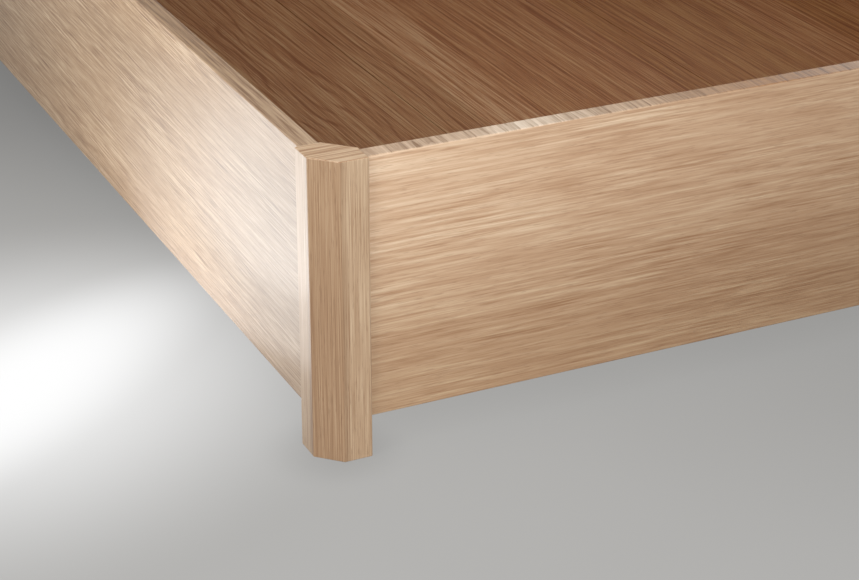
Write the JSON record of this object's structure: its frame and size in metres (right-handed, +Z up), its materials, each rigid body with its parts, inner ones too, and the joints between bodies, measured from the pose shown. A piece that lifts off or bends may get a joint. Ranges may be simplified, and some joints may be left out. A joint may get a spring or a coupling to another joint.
{
  "type": "ottoman bed",
  "caption": "Oak box bed with chamfered corner posts, a dark plank floor for storage, and a slatted steel lid that gas struts lift at the foot end.",
  "frame": {"origin": "on the floor, under the middle of the bed's outline", "axes": "+Z up, +Y from the foot to the head, +X to the right for someone who stands at the foot and looks to the head"},
  "size_m": [1.434, 1.984, 1.7126],
  "materials": {
    "oak": "pale oak, satin lacquer",
    "floor_oak": "dark stained planks, satin",
    "pine": "planed, unfinished",
    "slat": "planed, unfinished",
    "black_steel": "powder coat",
    "zinc_steel": "zinc plated",
    "chrome_rod": "polished",
    "plastic": "moulded"
  },
  "bodies": {
    "bed_frame": {"centre_foot_left": "plastic", "centre_foot_right": "plastic", "corner_brace_foot_left": "zinc_steel", "corner_brace_foot_right": "zinc_steel", "corner_brace_head_left": "zinc_steel", "corner_brace_head_right": "zinc_steel", "floor_beam_left": "pine", "floor_beam_right": "pine", "floor_cleat_foot": "pine", "floor_cleat_head": "pine", "floor_cleat_left": "pine", "floor_cleat_right": "pine", "floor_panel_1": "floor_oak", "floor_panel_2": "floor_oak", "floor_panel_3": "floor_oak", "foot_rail": "oak", "hanger_bolt_foot_left": "zinc_steel", "hanger_bolt_foot_right": "zinc_steel", "hanger_bolt_head_left": "zinc_steel", "hanger_bolt_head_right": "zinc_steel", "head_rail": "oak", "lid_rest_foot": "pine", "lid_rest_left": "pine", "lid_rest_right": "pine", "lift_plate_left": "black_steel", "lift_plate_right": "black_steel", "pivot_pin_left": "zinc_steel", "pivot_pin_right": "zinc_steel", "post_foot_left": "oak", "post_foot_right": "oak", "post_head_left": "oak", "post_head_right": "oak", "side_rail_left": "oak", "side_rail_right": "oak"},
    "lid": {"lid_bracket_left": "black_steel", "lid_bracket_right": "black_steel", "lid_centre_tube": "black_steel", "lid_foot_tube": "black_steel", "lid_head_tube": "black_steel", "lid_side_tube_left": "black_steel", "lid_side_tube_right": "black_steel", "slat_1": "slat", "slat_10": "slat", "slat_11": "slat", "slat_12": "slat", "slat_13": "slat", "slat_2": "slat", "slat_3": "slat", "slat_4": "slat", "slat_5": "slat", "slat_6": "slat", "slat_7": "slat", "slat_8": "slat", "slat_9": "slat"},
    "strut_cylinder_left": {"strut_cylinder_left": "black_steel"},
    "strut_cylinder_right": {"strut_cylinder_right": "black_steel"},
    "strut_rod_left": {"strut_rod_left": "chrome_rod"},
    "strut_rod_right": {"strut_rod_right": "chrome_rod"}
  },
  "joints": [
    {"name": "lid_hinge", "type": "hinge", "parent": "bed_frame", "child": "lid", "pos_m": [0, 0.792, 0.2947], "axis": [-1, 0, 0], "range_deg": [-55, 0], "stiffness_Nm_per_rad": 120, "springref_deg": 85.94},
    {"name": "strut_foot_pivot_left", "type": "hinge", "parent": "bed_frame", "child": "strut_cylinder_left", "pos_m": [-0.669, 0.81131, 0.111], "axis": [-1, 0, 0], "range_deg": [-27.5, 0]},
    {"name": "strut_head_pivot_left", "type": "hinge", "parent": "lid", "child": "strut_rod_left", "pos_m": [-0.669, 0.64069, 0.40065], "axis": [-1, 0, 0], "range_deg": [0, 27.5]},
    {"name": "strut_foot_pivot_right", "type": "hinge", "parent": "bed_frame", "child": "strut_cylinder_right", "pos_m": [0.669, 0.81131, 0.111], "axis": [-1, 0, 0], "range_deg": [-27.5, 0]},
    {"name": "strut_head_pivot_right", "type": "hinge", "parent": "lid", "child": "strut_rod_right", "pos_m": [0.669, 0.64069, 0.40065], "axis": [-1, 0, 0], "range_deg": [0, 27.5]}
  ],
  "couplings": [
    {"joint": "strut_foot_pivot_left", "follows": "lid_hinge", "ratio": 0.5},
    {"joint": "strut_head_pivot_left", "follows": "lid_hinge", "ratio": -0.5},
    {"joint": "strut_foot_pivot_right", "follows": "lid_hinge", "ratio": 0.5},
    {"joint": "strut_head_pivot_right", "follows": "lid_hinge", "ratio": -0.5}
  ]
}
